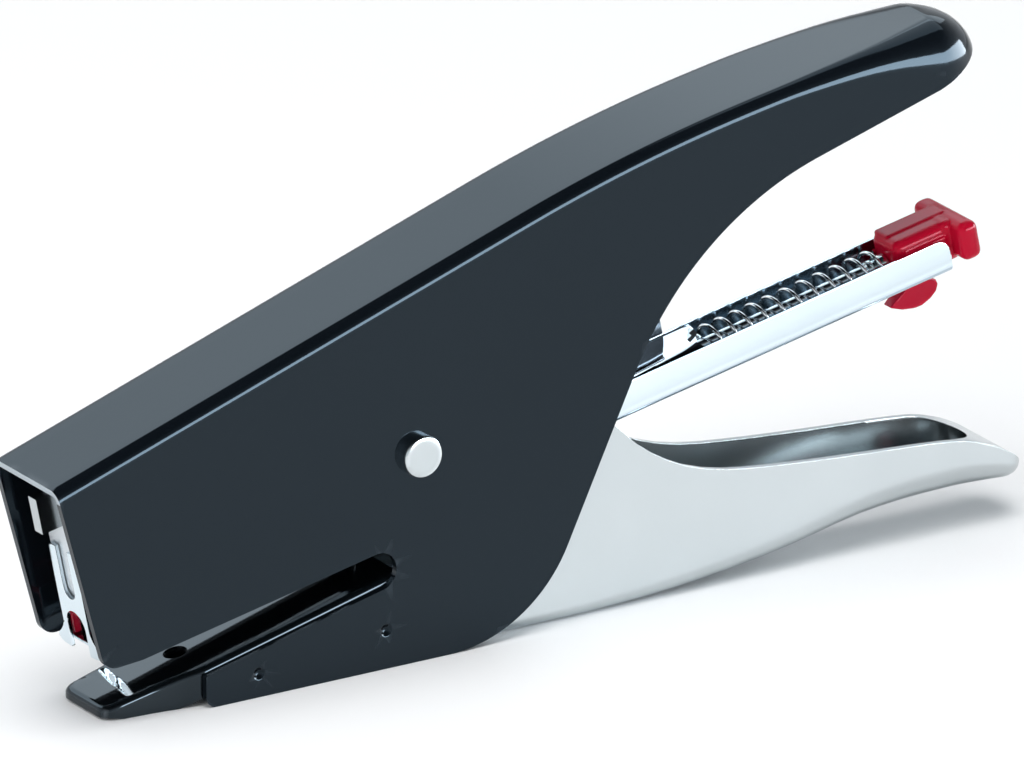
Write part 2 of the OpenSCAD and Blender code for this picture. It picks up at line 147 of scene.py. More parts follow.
# ---------------------------------------------------------------- materials
def material(name, base, second, metallic, rough, rough_var, bump, grain, wear_and_sheen=None,
             wear_and_sheen_rough=0.3, stretch=(1, 1, 1), specular=0.5, patch=28.0, tint=(1, 1, 1)):
    """Two close tones in soft patches, grain in roughness and bump, and lighter corners: rubbed wear and a
    painted edge highlight
    """
    m = bpy.data.materials.new(name)
    m.use_nodes = True
    nt = m.node_tree
    nt.nodes.clear()
    new = nt.nodes.new
    link = nt.links.new
    out = new("ShaderNodeOutputMaterial")
    sh = new("ShaderNodeBsdfPrincipled")
    link(sh.outputs[0], out.inputs[0])
    co = new("ShaderNodeTexCoord")
    mp = new("ShaderNodeMapping")
    mp.inputs["Scale"].default_value = stretch
    link(co.outputs["Object"], mp.inputs[0])

    broad = new("ShaderNodeTexNoise")
    broad.inputs["Scale"].default_value = patch
    broad.inputs["Detail"].default_value = 3
    link(co.outputs["Object"], broad.inputs["Vector"])
    ramp = new("ShaderNodeValToRGB")
    ramp.color_ramp.elements[0].position = 0.35
    ramp.color_ramp.elements[1].position = 0.68
    ramp.color_ramp.elements[0].color = (*base, 1)
    ramp.color_ramp.elements[1].color = (*second, 1)
    link(broad.outputs[0], ramp.inputs[0])
    colour = ramp.outputs[0]

    fine = new("ShaderNodeTexNoise")
    fine.inputs["Scale"].default_value = grain
    fine.inputs["Detail"].default_value = 4
    fine.inputs["Roughness"].default_value = 0.6
    link(mp.outputs[0], fine.inputs["Vector"])
    rr = new("ShaderNodeMapRange")
    rr.inputs["To Min"].default_value = max(0.02, rough - rough_var)
    rr.inputs["To Max"].default_value = rough + rough_var
    link(fine.outputs[0], rr.inputs[0])
    rough_out = rr.outputs[0]

    # lighter colour at the marked corners: rubbed wear and a painted edge highlight
    if wear_and_sheen:
        at = new("ShaderNodeAttribute")
        at.attribute_name = "wear_and_sheen"
        brk = new("ShaderNodeTexNoise")
        brk.inputs["Scale"].default_value = 420
        brk.inputs["Detail"].default_value = 5
        link(co.outputs["Object"], brk.inputs["Vector"])
        cut = new("ShaderNodeMapRange")
        cut.inputs["From Min"].default_value = 0.3
        cut.inputs["From Max"].default_value = 0.55
        link(brk.outputs[0], cut.inputs[0])
        mul = new("ShaderNodeMath")
        mul.operation = "MULTIPLY"
        link(at.outputs["Fac"], mul.inputs[0])
        link(cut.outputs[0], mul.inputs[1])
        mix = new("ShaderNodeMix")
        mix.data_type = "RGBA"
        mix.inputs[7].default_value = (*wear_and_sheen, 1)
        link(mul.outputs[0], mix.inputs[0])
        link(colour, mix.inputs[6])
        colour = mix.outputs[2]
        mr = new("ShaderNodeMix")
        mr.data_type = "FLOAT"
        mr.inputs[3].default_value = wear_and_sheen_rough
        link(mul.outputs[0], mr.inputs[0])
        link(rough_out, mr.inputs[2])
        rough_out = mr.outputs[0]

    bp = new("ShaderNodeBump")
    bp.inputs["Strength"].default_value = bump
    bp.inputs["Distance"].default_value = 0.00005
    link(fine.outputs[0], bp.inputs["Height"])
    link(bp.outputs[0], sh.inputs["Normal"])
    link(colour, sh.inputs["Base Color"])
    link(rough_out, sh.inputs["Roughness"])
    sh.inputs["Metallic"].default_value = metallic
    sh.inputs["Specular IOR Level"].default_value = specular
    sh.inputs["Specular Tint"].default_value = (*tint, 1)
    return m


# the wear colour of each material lightens its corners: rubbed wear and a painted edge highlight
LACQUER = material("black_lacquer", (0.003, 0.0045, 0.0065), (0.004, 0.006, 0.0085), 0.0, 0.09, 0.006,
                   0.005, 2600, specular=0.32, wear_and_sheen=(0.02, 0.025, 0.03), wear_and_sheen_rough=0.12, patch=14,
                   tint=(0.60, 0.82, 1.0))
BLACK = material("black_steel", (0.002, 0.003, 0.004), (0.004, 0.005, 0.006), 0.0, 0.05, 0.01,
                 0.006, 2200, specular=0.5, wear_and_sheen=(0.10, 0.11, 0.12), wear_and_sheen_rough=0.14,
                 tint=(0.68, 0.86, 1.0))
SATIN = material("satin_nickel", (0.47, 0.505, 0.515), (0.51, 0.545, 0.555), 1.0, 0.2, 0.02,
                 0.015, 2600, wear_and_sheen=(0.78, 0.83, 0.85), wear_and_sheen_rough=0.14, stretch=(0.2, 1, 1))
BRIGHT = material("bright_steel", (0.66, 0.75, 0.80), (0.71, 0.80, 0.85), 1.0, 0.10, 0.015,
                  0.008, 2400, wear_and_sheen=(0.82, 0.87, 0.9), wear_and_sheen_rough=0.1, stretch=(0.15, 1, 1))
MIRROR = material("mirror_steel", (0.62, 0.68, 0.72), (0.66, 0.72, 0.76), 1.0, 0.05, 0.01,
                  0.005, 2000, wear_and_sheen=(0.8, 0.85, 0.88), wear_and_sheen_rough=0.08)
DARK = material("dark_steel", (0.09, 0.11, 0.13), (0.13, 0.15, 0.17), 1.0, 0.2, 0.03,
                0.02, 2000, wear_and_sheen=(0.4, 0.43, 0.46), wear_and_sheen_rough=0.2)
# bare steel on the casing's front top sheet edge only, lighter there as a painted highlight
EDGE_HIGHLIGHT = material("bare_edge_painted_highlight", (0.36, 0.41, 0.45), (0.42, 0.47, 0.51), 1.0, 0.3, 0.03,
                0.02, 2400, wear_and_sheen=(0.8, 0.84, 0.87), wear_and_sheen_rough=0.2)
# a darker copy of bright_steel: painted shade on the channel's down-facing lower bend
SHADE = material("bright_steel_fold_painted_shade", (0.46, 0.56, 0.64), (0.50, 0.60, 0.68), 1.0, 0.12, 0.015,
                 0.008, 2400, wear_and_sheen=(0.7, 0.78, 0.84), wear_and_sheen_rough=0.1, stretch=(0.15, 1, 1))
# black for the slide's near flank: painted shade and a painted dark reflection of the channel's interior
SHADOW = material("slide_flank_painted_shade", (0.003, 0.004, 0.005), (0.006, 0.007, 0.008), 0.0, 0.22, 0.02,
                  0.006, 2200, specular=0.08, wear_and_sheen=(0.06, 0.07, 0.08), wear_and_sheen_rough=0.2,
                  tint=(0.68, 0.86, 1.0))
BRUSHED = material("brushed_steel", (0.66, 0.70, 0.73), (0.72, 0.76, 0.79), 1.0, 0.45, 0.03,
                   0.03, 2400, wear_and_sheen=(0.85, 0.88, 0.9), wear_and_sheen_rough=0.3, stretch=(1, 1, 0.15))
CHROME = material("chrome_wire", (0.84, 0.88, 0.90), (0.88, 0.92, 0.94), 1.0, 0.14, 0.02,
                  0.005, 2000, wear_and_sheen=(0.92, 0.94, 0.95), wear_and_sheen_rough=0.1)
# a darker copy of the channel's steel: painted shade inside the channel
INSIDE_SHADE = material("channel_inside_painted_shade", (0.38, 0.46, 0.52), (0.44, 0.52, 0.58), 1.0, 0.12, 0.02,
                  0.01, 1800, wear_and_sheen=(0.4, 0.43, 0.46), wear_and_sheen_rough=0.15)
RED = material("red_plastic", (0.50, 0.004, 0.026), (0.54, 0.006, 0.032), 0.0, 0.15, 0.02,
               0.02, 1800, specular=0.22, wear_and_sheen=(0.58, 0.01, 0.04), wear_and_sheen_rough=0.22,
               tint=(1.0, 0.5, 0.6))


# ---------------------------------------------------------------- mesh tools
def piece(name, verts, faces, mat, body, node, slot, thick=0.0, bevel=0.0, segs=2,
          sharp=32, weld=0.004, limit=45, mats=(), face_mat=None, even=True):
    """Makes a finished piece: weld, thicken inwards, bevel the rims, mark edges for wear and painted edge
    highlight
    """
    me = bpy.data.meshes.new(name)
    me.from_pydata([tuple(v) for v in verts], [], faces)
    ob = bpy.data.objects.new(name, me)
    bpy.context.scene.collection.objects.link(ob)
    bm = bmesh.new()
    bm.from_mesh(me)
    bmesh.ops.remove_doubles(bm, verts=bm.verts, dist=weld * MM)
    bmesh.ops.dissolve_degenerate(bm, edges=bm.edges, dist=weld * MM * 0.5)
    bmesh.ops.recalc_face_normals(bm, faces=bm.faces)
    bm.to_mesh(me)
    bm.free()
    finish_piece(ob, mat, body, node, thick, bevel, segs, sharp, limit, mats, face_mat, even)
    return ob


def flip(ob):
    bm = bmesh.new()
    bm.from_mesh(ob.data)
    bmesh.ops.reverse_faces(bm, faces=bm.faces)
    bm.to_mesh(ob.data)
    bm.free()


def finish_piece(ob, mat, body, node, thick, bevel, segs, sharp, limit, mats, face_mat,
                 even=True):
    if thick:
        # normals have to face outwards for the sheet to grow inwards
        if outward(ob) < 0:
            flip(ob)
        s = ob.modifiers.new("sheet", "SOLIDIFY")
        s.thickness = thick * MM
        s.offset = -1
        s.use_even_offset = even
        s.use_quality_normals = True
    if bevel:
        b = ob.modifiers.new("edges", "BEVEL")
        b.width = bevel * MM
        b.segments = segs
        b.limit_method = "ANGLE"
        b.angle_limit = math.radians(limit)
        b.use_clamp_overlap = True
        b.miter_outer = "MITER_ARC"
    bake(ob)
    me = ob.data
    me.materials.clear()
    me.materials.append(mat)
    for extra in mats:
        me.materials.append(extra)
    if face_mat:
        for p in me.polygons:
            p.material_index = face_mat(p.center, p.normal)
    mark_wear_and_sheen(me)
    for p in me.polygons:
        p.use_smooth = True
    me.set_sharp_from_angle(angle=math.radians(sharp))
    w = ob.modifiers.new("normals", "WEIGHTED_NORMAL")
    w.keep_sharp = True
    w.weight = 60
    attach(ob, body)
    if node:
        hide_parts(*([node] if isinstance(node, str) else node))


def outward(ob):
    """Positive when most faces point away from the middle of the piece"""
    me = ob.data
    c = sum((v.co for v in me.vertices), Vector()) / len(me.vertices)
    return sum((p.center - c).dot(p.normal) * p.area for p in me.polygons)


def bake(ob):
    if ob.modifiers:
        deps = bpy.context.evaluated_depsgraph_get()
        me = bpy.data.meshes.new_from_object(ob.evaluated_get(deps), depsgraph=deps)
        ob.modifiers.clear()
        old = ob.data
        ob.data = me
        bpy.data.meshes.remove(old)


WEAR_AND_SHEEN_ANGLE = 0.45     # least corner, in radians, that gets rubbed wear and a painted edge highlight
WEAR_AND_SHEEN_AREA = 1.2e-6    # a wider face would carry the wear and painted highlight far from its corner, in square metres


def mark_wear_and_sheen(me):
    """A 0..1 value at the corners that stick out, for the materials' rubbed wear and painted edge highlight
    """
    bm = bmesh.new()
    bm.from_mesh(me)
    val = [0.0] * len(bm.verts)
    bm.verts.index_update()
    for e in bm.edges:
        if len(e.link_faces) == 2 and e.is_convex:
            a = e.calc_face_angle(0.0)
            if a > WEAR_AND_SHEEN_ANGLE:
                w = min(1.0, a / 0.9)
                for v in e.verts:
                    if max(f.calc_area() for f in v.link_faces) < WEAR_AND_SHEEN_AREA:
                        val[v.index] = max(val[v.index], w)
    bm.free()
    at = me.attributes.new("wear_and_sheen", "FLOAT", "POINT")
    at.data.foreach_set("value", val)


def grid_faces(rows, cols, base=0, skip=None):
    """Quads over rows x cols points laid out row by row"""
    f = []
    for i in range(rows - 1):
        for j in range(cols - 1):
            if skip and skip(i, j):
                continue
            a = base + i * cols + j
            f.append((a, a + 1, a + cols + 1, a + cols))
    return f


def plate(name, outer, holes, place, t, mat, body, node, slot, bevel=0.12, **kw):
    """Flat sheet: a 2D outline with holes, placed by place(a, b, depth)"""
    v2, tris = fill2d(outer, holes)
    n = len(v2)
    verts = [place(a, b, 0) for a, b in v2] + [place(a, b, t) for a, b in v2]
    faces = list(tris) + [tuple(reversed([i + n for i in f])) for f in tris]
    count = {}
    for f in tris:
        for i in range(3):
            e = (f[i], f[(i + 1) % 3])
            count[e] = count.get(e, 0) + 1
    for (a, b) in list(count):
        if (b, a) not in count:
            faces.append((b, a, a + n, b + n))
    return piece(name, verts, faces, mat, body, node, slot, bevel=bevel, **kw)


def lathe(name, profile, origin, axis, mat, body, node, slot, n=64, sharp=32, **kw):
    """Solid of revolution: profile of (distance along axis, radius) in millimetres"""
    axis = axis.normalized()
    side = axis.orthogonal().normalized()
    up = axis.cross(side)
    verts, faces = [], []
    for a, r in profile:
        for k in range(n):
            t = 2 * math.pi * k / n
            verts.append(origin + axis * (a * MM)
                         + (side * math.cos(t) + up * math.sin(t)) * (r * MM))
    for i in range(len(profile) - 1):
        for k in range(n):
            a, b = i * n + k, i * n + (k + 1) % n
            faces.append((a, b, b + n, a + n))
    faces.append(tuple(reversed(range(n))))
    faces.append(tuple(range(len(verts) - n, len(verts))))
    return piece(name, verts, faces, mat, body, node, slot, sharp=sharp, weld=0.0005, **kw)


# ---------------------------------------------------------------- casing
CW = 10.3                 # half the casing's width
CT = 1.2                  # its sheet
A0 = math.radians(18.6)   # slope of the straight top
A1 = math.radians(10.8)   # slope where its two arcs meet
R1, R2, R3 = 300, 600, 8.3
TOP_0 = 43.0
X_A = 90.5
TOP_A = TOP_0 + X_A * math.tan(A0)
X_B = X_A + R1 * (math.sin(A0) - math.sin(A1))
TOP_B = TOP_A + R1 * (math.cos(A1) - math.cos(A0))
TIP_X = 173.0
A2 = math.asin((X_B + R2 * math.sin(A1) - TIP_X) / (R2 - R3))
X_C = TIP_X - R3 * math.sin(A2)
TIP_Z = TOP_B - R2 * math.cos(A1) + (R2 - R3) * math.cos(A2)
C_END = 171.1             # centre of the rounding seen from above


def top_z(x):
    if x < X_A:
        return TOP_0 + x * math.tan(A0)
    if x < X_B:
        cx, cz = X_A + R1 * math.sin(A0), TOP_A - R1 * math.cos(A0)
        return cz + math.sqrt(R1 ** 2 - (x - cx) ** 2)
    if x < X_C:
        cx, cz = X_B + R2 * math.sin(A1), TOP_B - R2 * math.cos(A1)
        return cz + math.sqrt(R2 ** 2 - (x - cx) ** 2)
    return TIP_Z + R3 - max(0.0, x - TIP_X) * 0.02


case_bend = curve([(0, 2.2), (110, 2.2), (125, 2.2), (139, 2.25), (148.7, 2.8), (156, 3.5), (162, 4.5),
                   (168, 6.0), (174, 7.4), (181.4, 8.3)])


casing_under = curve([(160, 76.85), (170.2, 79.9), (174, 81.6), (178, 83.6), (181.4, 85.0)])


def build_casing():
    front = 8.25 / (TOP_0 - 13.08)    # lean of the front edge
    xs = [0, 1.2, 3, 6, 10, 16, 24, 34, 46, 58, 70, 82]
    xs += [88 + 3.2 * i for i in range(1, 17)]
    xs += [142, 145, 148, 151, 154, 157, 160, 163, 166, 168.5, 171]
    stations = [(x, None) for x in xs if x < C_END - 1] + [(C_END, 0.0)]
    stations += [(None, math.radians(a)) for a in (6, 12, 20, 28, 36, 44, 52, 60, 67, 74, 80, 85, 90)]
    thetas = [math.radians(a) for a in (0, 7, 18, 30, 45, 60, 72, 83, 90)]
    cross = 4                          # strips from the bend to the middle
    rows_ = []
    for x, phi in stations:
        if phi is None:
            p, n, xe = (x, CW), (0, -1), x
        else:
            p = (C_END + CW * math.sin(phi), CW * math.cos(phi))
            n = (-math.sin(phi), -math.cos(phi))
            xe = p[0]
        r = case_bend(xe)
        line = []
        deep = top_z(xe) - casing_under(xe) if xe > 160 else 99.0
        t0 = math.asin(1 - deep / r) if deep < r else 0.0
        for t in [t0 + (math.pi / 2 - t0) * q / (math.pi / 2) for q in thetas]:
            d = r * (1 - math.cos(t))
            px, py = p[0] + n[0] * d, p[1] + n[1] * d
            drop = r * (1 - math.sin(t))
            if phi is None and x == 0:
                px += drop * front
            line.append((px, py, top_z(px if phi is not None else x) - drop))
        ex, ey, ez = line[-1]
        for k in range(1, cross + 1):
            line.append((ex, ey * (1 - k / cross), ez))
        rows_.append(line)
    cols = len(rows_[0])
    verts, faces = [], []
    for s in (-1, 1):
        base = len(verts)
        for line in rows_:
            verts += [row(a, s * b, c) for a, b, c in line]
        faces += grid_faces(len(rows_), cols, base)
        # short wall under the bend round the end
        k0 = next(i for i, st in enumerate(stations) if st[1] is not None)
        base = len(verts)
        for line in rows_[k0:]:
            a, b, c = line[0]
            for f in (0, 0.5, 1):
                verts.append(row(a, s * b, c + (min(c, casing_under(a)) - c) * f))
        faces += grid_faces(len(rows_) - k0, 3, base)
    # side walls
    upper = [(line[0][0], line[0][2]) for line, st in zip(rows_, stations) if st[1] in (None, 0.0)]
    ex, ez = upper[-1]
    end = [(ex, ez + (casing_under(ex) - ez) * f) for f in (0.5, 1)]
    lower = dense([end[-1], (171.1, 80.27), (170.2, 79.9)] + arc(162.5, 18.1, 57, 107, 154.6, 30)
                  + arc(74.7, 25.5, 25.5, -25.4, -90, 20), 4)
    lower += dense([(74.7, 0), (31.0, 0)], 6)[1:] + arc(30.2, 2, 2, 270, 180, 6)
    lower += dense([(28.2, 2), (28.2, 5.6)], 2)[1:]
    lower += dense([(28.6, 5.72), (58.6, 13.1)], 3)
    lower += arc(61.4, 17.1, 3.3, -76, 102, 16)
    lower += dense([(58.6, 19.86), (16.2, 11.05)], 4)
    lower += arc(11.2, 13.6, 3, 272, 190, 8)
    lower += dense([(8.25, 13.08), (upper[0][0], upper[0][1])], 3)[1:-1]
    outer = []
    for p in upper + end + lower:
        if not outer or math.dist(outer[-1], p) > 0.12:
            outer.append(p)
    extra = []
    dents = [(38.3, 4.1), (62.7, 6.7)]
    for cx, cz in dents:
        extra.append((cx, cz))
        for rr in (0.35, 0.7, 1.0, 1.25):
            extra += [(cx + rr * math.cos(a * math.pi / 8), cz + rr * math.sin(a * math.pi / 8))
                      for a in range(16)]
    # inner points keep the wall's shading flat away from its edges
    extra += [(x, z) for x in range(4, 178, 4) for z in range(3, 90, 4)
              if inside((x, z), outer) and min(math.dist((x, z), d) for d in dents) > 2.2]
    extra += [(x, z - 0.9) for x, z in upper[2:]]
    v2, tris = fill2d(outer, (), extra)
    for s in (-1, 1):
        base = len(verts)
        for a, c in v2:
            dist = min(math.dist((a, c), d) for d in dents)
            dip = 0.8 * (1 - (dist / 1.1) ** 2) if dist < 1.1 else 0.0
            verts.append(row(a, s * (CW - dip), c))
        faces += [tuple(i + base for i in f) for f in tris]

    # the front top rim faces take index 1, bare steel: a painted highlight along the sheet edge
    def lit_front_rim(c, n):
        return 1 if n.x < -0.5 and c.x - NOSE < 2 * MM and c.z > 40.6 * MM else 0
    return piece("casing_shell", verts, faces, LACQUER, "frame", "casing", "black_lacquer",
                 thick=CT, bevel=0.22, segs=2, weld=0.02, sharp=35, even=False, mats=[EDGE_HIGHLIGHT],
                 face_mat=lit_front_rim)


build_casing()

# ---------------------------------------------------------------- lower handle
LW = 7.65
LT = 1.2
belly = curve([(76, 0), (104, 0.0), (112, 0.13), (120, 0.52), (130, 1.38), (140, 2.65), (148, 4.0),
               (154, 5.2), (160, 6.15), (168, 6.85), (176, 7.1), (183.5, 7.2), (190, 7.3)])
rim = curve([(104, 36.3), (108.6, 32.3), (113, 28.2), (118, 24.8), (124, 22.0), (131, 20.3),
             (140, 19.2), (156, 17.9), (168, 17.1), (176, 16.3), (181.5, 14.7), (184.9, 13.1),
             (187.5, 11.4), (190, 9.3)])
belly_bend = curve([(82, 2.3), (97, 2.4), (115, 3.0), (140, 3.9), (160, 4.7), (176, 4.7), (184, 3.6),
                    (190, 1.9)])
lever_half = curve([(-10, 1.2), (24, 1.2), (25, 1.25), (41, 7.3), (42, 7.6), (43, LW), (200, LW)])


def lever_outline(s):
    """Point and inward normal of the outline seen from above, s in mm behind x = 110"""
    corner, x_end = 5.0, 190.0
    straight = x_end - corner - 110
    bow = corner * math.pi / 2
    if s <= straight:
        return (110 + s, LW), (0, -1)
    if s <= straight + bow:
        a = (s - straight) / corner
        return ((x_end - corner + corner * math.sin(a), LW - corner + corner * math.cos(a)),
                (-math.sin(a), -math.cos(a)))
    return (x_end, LW - corner - (s - straight - bow)), (-1, 0)


def bowl_outline(s):
    """The same for the inside, whose rear end is a half circle"""
    r, cx = LW - LT, 174.7
    straight = cx - 110
    if s <= straight:
        return (110 + s, r), (0, -1)
    a = min(math.pi / 2, (s - straight) / r)
    return (cx + r * math.sin(a), r * math.cos(a)), (-math.sin(a), -math.cos(a))


def build_lower_handle():
    outer_len = 75 + 5 * math.pi / 2 + (LW - 5)
    inner_len = 64.7 + (LW - LT) * math.pi / 2
    part = 56.0                        # up to here inside and outside run together
    steps = [0, 3, 6, 9, 12, 16, 20, 24, 29, 34, 39, 44, 48, 52, 56]
    fr = [i / 26 for i in range(1, 27)]
    pairs = [(a, a) for a in steps]
    pairs += [(part + (outer_len - part) * f, part + (inner_len - part) * f) for f in fr]
    thetas = [math.radians(a) for a in (90, 76, 62, 48, 34, 20, 8, 0)]
    walls = [0.1, 0.22, 0.38, 0.55, 0.72, 0.88, 1.0]
    cross = 4
    rows_ = []
    for so, si in pairs:
        p, n = lever_outline(so)
        q, m = bowl_outline(si)
        r = belly_bend(p[0])
        ri = max(1.2, belly_bend(q[0]) - LT) if q[0] < 170 else 3.3
        line = []
        bottom = (p[0] + n[0] * r, p[1] + n[1] * r)
        for k in range(cross):
            line.append((bottom[0], bottom[1] * k / cross, belly(bottom[0])))
        for t in thetas:
            d = r * (1 - math.cos(t))
            x, y = p[0] + n[0] * d, p[1] + n[1] * d
            line.append((x, y, belly(x) + r * (1 - math.sin(t))))
        zb = line[-1][2]
        zo = max(zb + 0.02, rim(p[0]))
        for w in walls:
            line.append((p[0], p[1], zb + (zo - zb) * w))
        for w in (0.33, 0.67, 1.0):
            x, y = p[0] + (q[0] - p[0]) * w, p[1] + (q[1] - p[1]) * w
            line.append((x, y, rim(x) if abs(x - p[0]) > 0.3 else zo))
        zt = line[-1][2]
        zi = belly(q[0]) + LT + ri
        for w in reversed(walls[:-1]):
            line.append((q[0], q[1], zi + (zt - zi) * w))
        for t in reversed(thetas):
            d = ri * (1 - math.cos(t))
            x, y = q[0] + m[0] * d, q[1] + m[1] * d
            line.append((x, y, belly(x) + LT + ri * (1 - math.sin(t))))
        ex, ey, ez = line[-1]
        for k in range(1, cross + 1):
            line.append((ex, ey * (1 - k / cross), ez))
        rows_.append(line)
    cols = len(rows_[0])
    verts, faces = [], []
    fore = [82, 86, 90, 95, 100, 105, 110]
    under, over = [], []
    for x in fore:
        r = belly_bend(x)
        a = [(x, (LW - r) * k / cross, belly(x)) for k in range(cross)]
        a += [(x, LW - r * (1 - math.cos(t)), belly(x) + r * (1 - math.sin(t))) for t in thetas]
        ri = max(1.2, r - LT)
        b = [(x, (LW - LT - ri) * k / cross, belly(x) + LT) for k in range(cross)]
        b += [(x, LW - LT - ri * (1 - math.cos(t)), belly(x) + LT + ri * (1 - math.sin(t)))
              for t in thetas]
        under.append(a)
        over.append(b)
    # cheeks and the narrow nose
    ct, st = math.cos(TILT), math.sin(TILT)

    def from_mag(u, v):
        return (68.9 + u * ct - v * st, 36.2 + u * st + v * ct)
    column = [(c[0], c[2]) for c in rows_[0][cross + 7:cross + 15]]
    low = [(line[-1][0], line[-1][2]) for line in reversed(under)]
    tops = dense([column[-1], (108.6, 32.3), (104, 36.3), (99, 40.6)], 3)
    arcs = arc(82, 20, 26.7, 48, 100, 14)
    n0, n1, n2 = from_mag(-50, 16.3), from_mag(-65.5, 16.3), from_mag(-65.5, 9.9)
    under_nose = (68.9 - 46 * ct - 9.9 * st, 36.2 - 46 * st + 9.9 * ct)
    front = dense([(58, 31), under_nose, n2, n1, n0, arcs[-1]], 2.2)[1:]
    outer = list(reversed(column)) + low[1:] + dense([low[-1], (76, 5), (62, 24.5), (58, 31)], 3)[1:]
    outer += front + list(reversed(arcs))[1:] + list(reversed(tops))[1:-1]
    clean = []
    for p in outer:
        if not clean or math.dist(clean[-1], p) > 0.05:
            clean.append(p)
    grid = [(x, z) for x in (24, 27, 30, 33, 36, 39, 42) for z in range(20, 62, 2)
            if inside((x, z), clean)]
    v2, tris = fill2d(clean, (), grid)
    count = {}
    for f in tris:
        for i in range(3):
            count[(f[i], f[(i + 1) % 3])] = 1
    edge = [(a, b) for a, b in count if (b, a) not in count]
    joined = {(round(x, 3), round(z, 3)) for x, z in column + low}

    def on_joint(i):
        return (round(v2[i][0], 3), round(v2[i][1], 3)) in joined
    for s in (-1, 1):
        base = len(verts)
        for line in rows_:
            verts += [row(a, s * b, c) for a, b, c in line]
        faces += grid_faces(len(rows_), cols, base)
        for block in (under, over):
            base = len(verts)
            for line in block:
                verts += [row(a, s * b, c) for a, b, c in line]
            faces += grid_faces(len(block), len(block[0]), base)
        # closing strip at the floor's front edge
        base = len(verts)
        verts += [row(a, s * b, c) for a, b, c in under[0]]
        verts += [row(a, s * b, c) for a, b, c in over[0]]
        k = len(under[0])
        faces += [(base + i, base + i + 1, base + i + 1 + k, base + i + k) for i in range(k - 1)]
        base = len(verts)
        for a, c in v2:
            verts.append(row(a, s * lever_half(a), c))
        for a, c in v2:
            verts.append(row(a, s * max(0.0, lever_half(a) - LT), c))
        m = len(v2)
        for f in tris:
            faces.append(tuple(i + base for i in f))
            if not all(v2[i][0] < 24.01 for i in f):
                faces.append(tuple(i + base + m for i in f))
        for a, b in edge:
            if not (on_joint(a) and on_joint(b)):
                faces.append((base + a, base + b, base + b + m, base + a + m))
    return piece("squeeze_handle_shell", verts, faces, SATIN, "squeeze_handle", "lower_handle",
                 "satin_nickel", bevel=0.22, segs=2, weld=0.02, sharp=35, limit=50)


build_lower_handle()

# ---------------------------------------------------------------- pivot rivet
lathe("pivot_rivet_heads", [(-12.2, 2.6), (-12.2, 3.25), (-12.1, 3.42), (-11.9, 3.55), (-11.65, 3.6),
                            (-10.25, 3.6), (-10.25, 2.5), (10.25, 2.5), (10.25, 3.3), (11.9, 3.3),
                            (12.1, 3.2), (12.2, 3.0), (12.2, 2.4)],
      PIVOT, Vector((0, 1, 0)), SATIN, "frame", "pivot_rivet", "satin_nickel", n=72)


